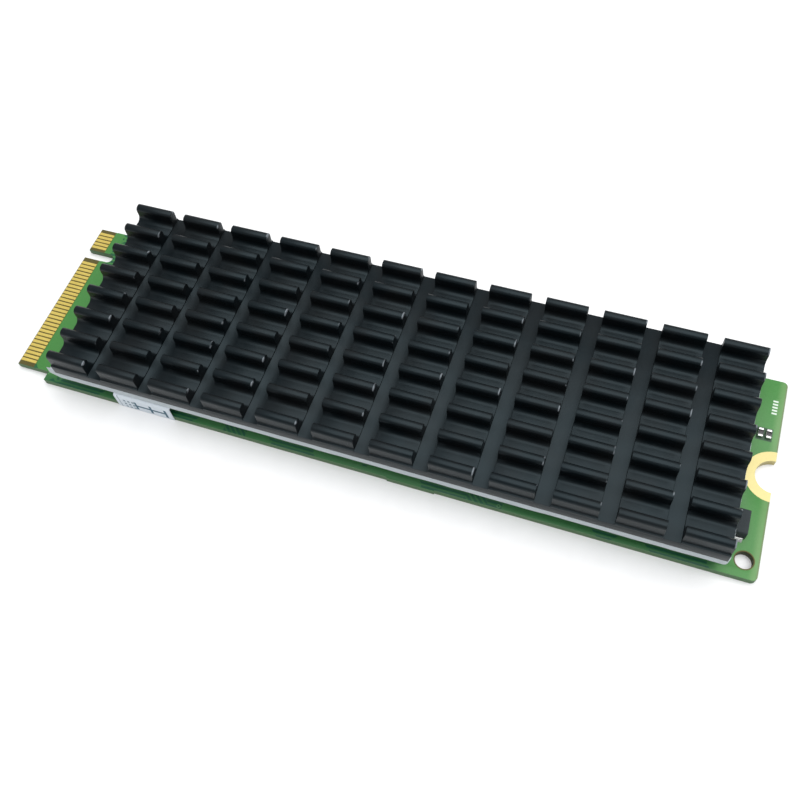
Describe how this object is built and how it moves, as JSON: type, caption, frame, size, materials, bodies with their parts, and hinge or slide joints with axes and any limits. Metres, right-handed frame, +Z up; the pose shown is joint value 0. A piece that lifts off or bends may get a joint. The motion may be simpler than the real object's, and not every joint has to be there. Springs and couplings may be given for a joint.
{
  "type": "solid state drive",
  "caption": "Slim solid state drive card with an edge connector at one end, a half-round screw notch at the other, and a finned heatsink over a thermal pad.",
  "frame": {"origin": "centre of the circuit board's underside", "axes": "+X from the edge connector to the screw notch, +Y across the board towards the short contact tab, +Z up through the heatsink"},
  "size_m": [0.08, 0.0222, 0.0065],
  "materials": {
    "solder_mask": "green solder mask over glass fibre laminate",
    "gold_plating": "gold plating over copper",
    "anodised_aluminium": "black anodised, extruded and milled",
    "silicone_pad": "soft pale grey silicone",
    "mould_compound": "moulded epoxy, fine texture",
    "solder": "tin alloy solder",
    "tin": "tin plating",
    "ceramic_base": "dark ceramic",
    "lid_metal": "nickel plated lid",
    "coil_compound": "pressed metal powder compound",
    "resistor_body": "black glazed ceramic",
    "capacitor_body": "tan ceramic",
    "label_film": "white coated paper"
  },
  "bodies": {
    "root": {"chip_resistor_bodies": "resistor_body", "chip_resistor_ends": "tin", "circuit_board": "solder_mask", "controller_chip": "mould_compound", "controller_solder_balls": "solder", "crystal_base": "ceramic_base", "crystal_lid": "lid_metal", "edge_contacts_bottom": "gold_plating", "edge_contacts_top": "gold_plating", "edge_label": "label_film", "end_coil_body": "coil_compound", "end_coil_solder": "solder", "end_coil_terminals": "tin", "first_capacitor_bodies": "capacitor_body", "first_capacitor_ends": "tin", "flash_chip_inner": "mould_compound", "flash_chip_outer": "mould_compound", "flash_solder_balls_inner": "solder", "flash_solder_balls_outer": "solder", "heatsink": "anodised_aluminium", "memory_chip": "mould_compound", "memory_solder_balls": "solder", "mounting_notch_plating": "gold_plating", "power_coils": "coil_compound", "power_manager": "mould_compound", "second_capacitor_bodies": "capacitor_body", "second_capacitor_ends": "tin", "thermal_pad": "silicone_pad", "voltage_regulator": "mould_compound"}
  },
  "joints": []
}
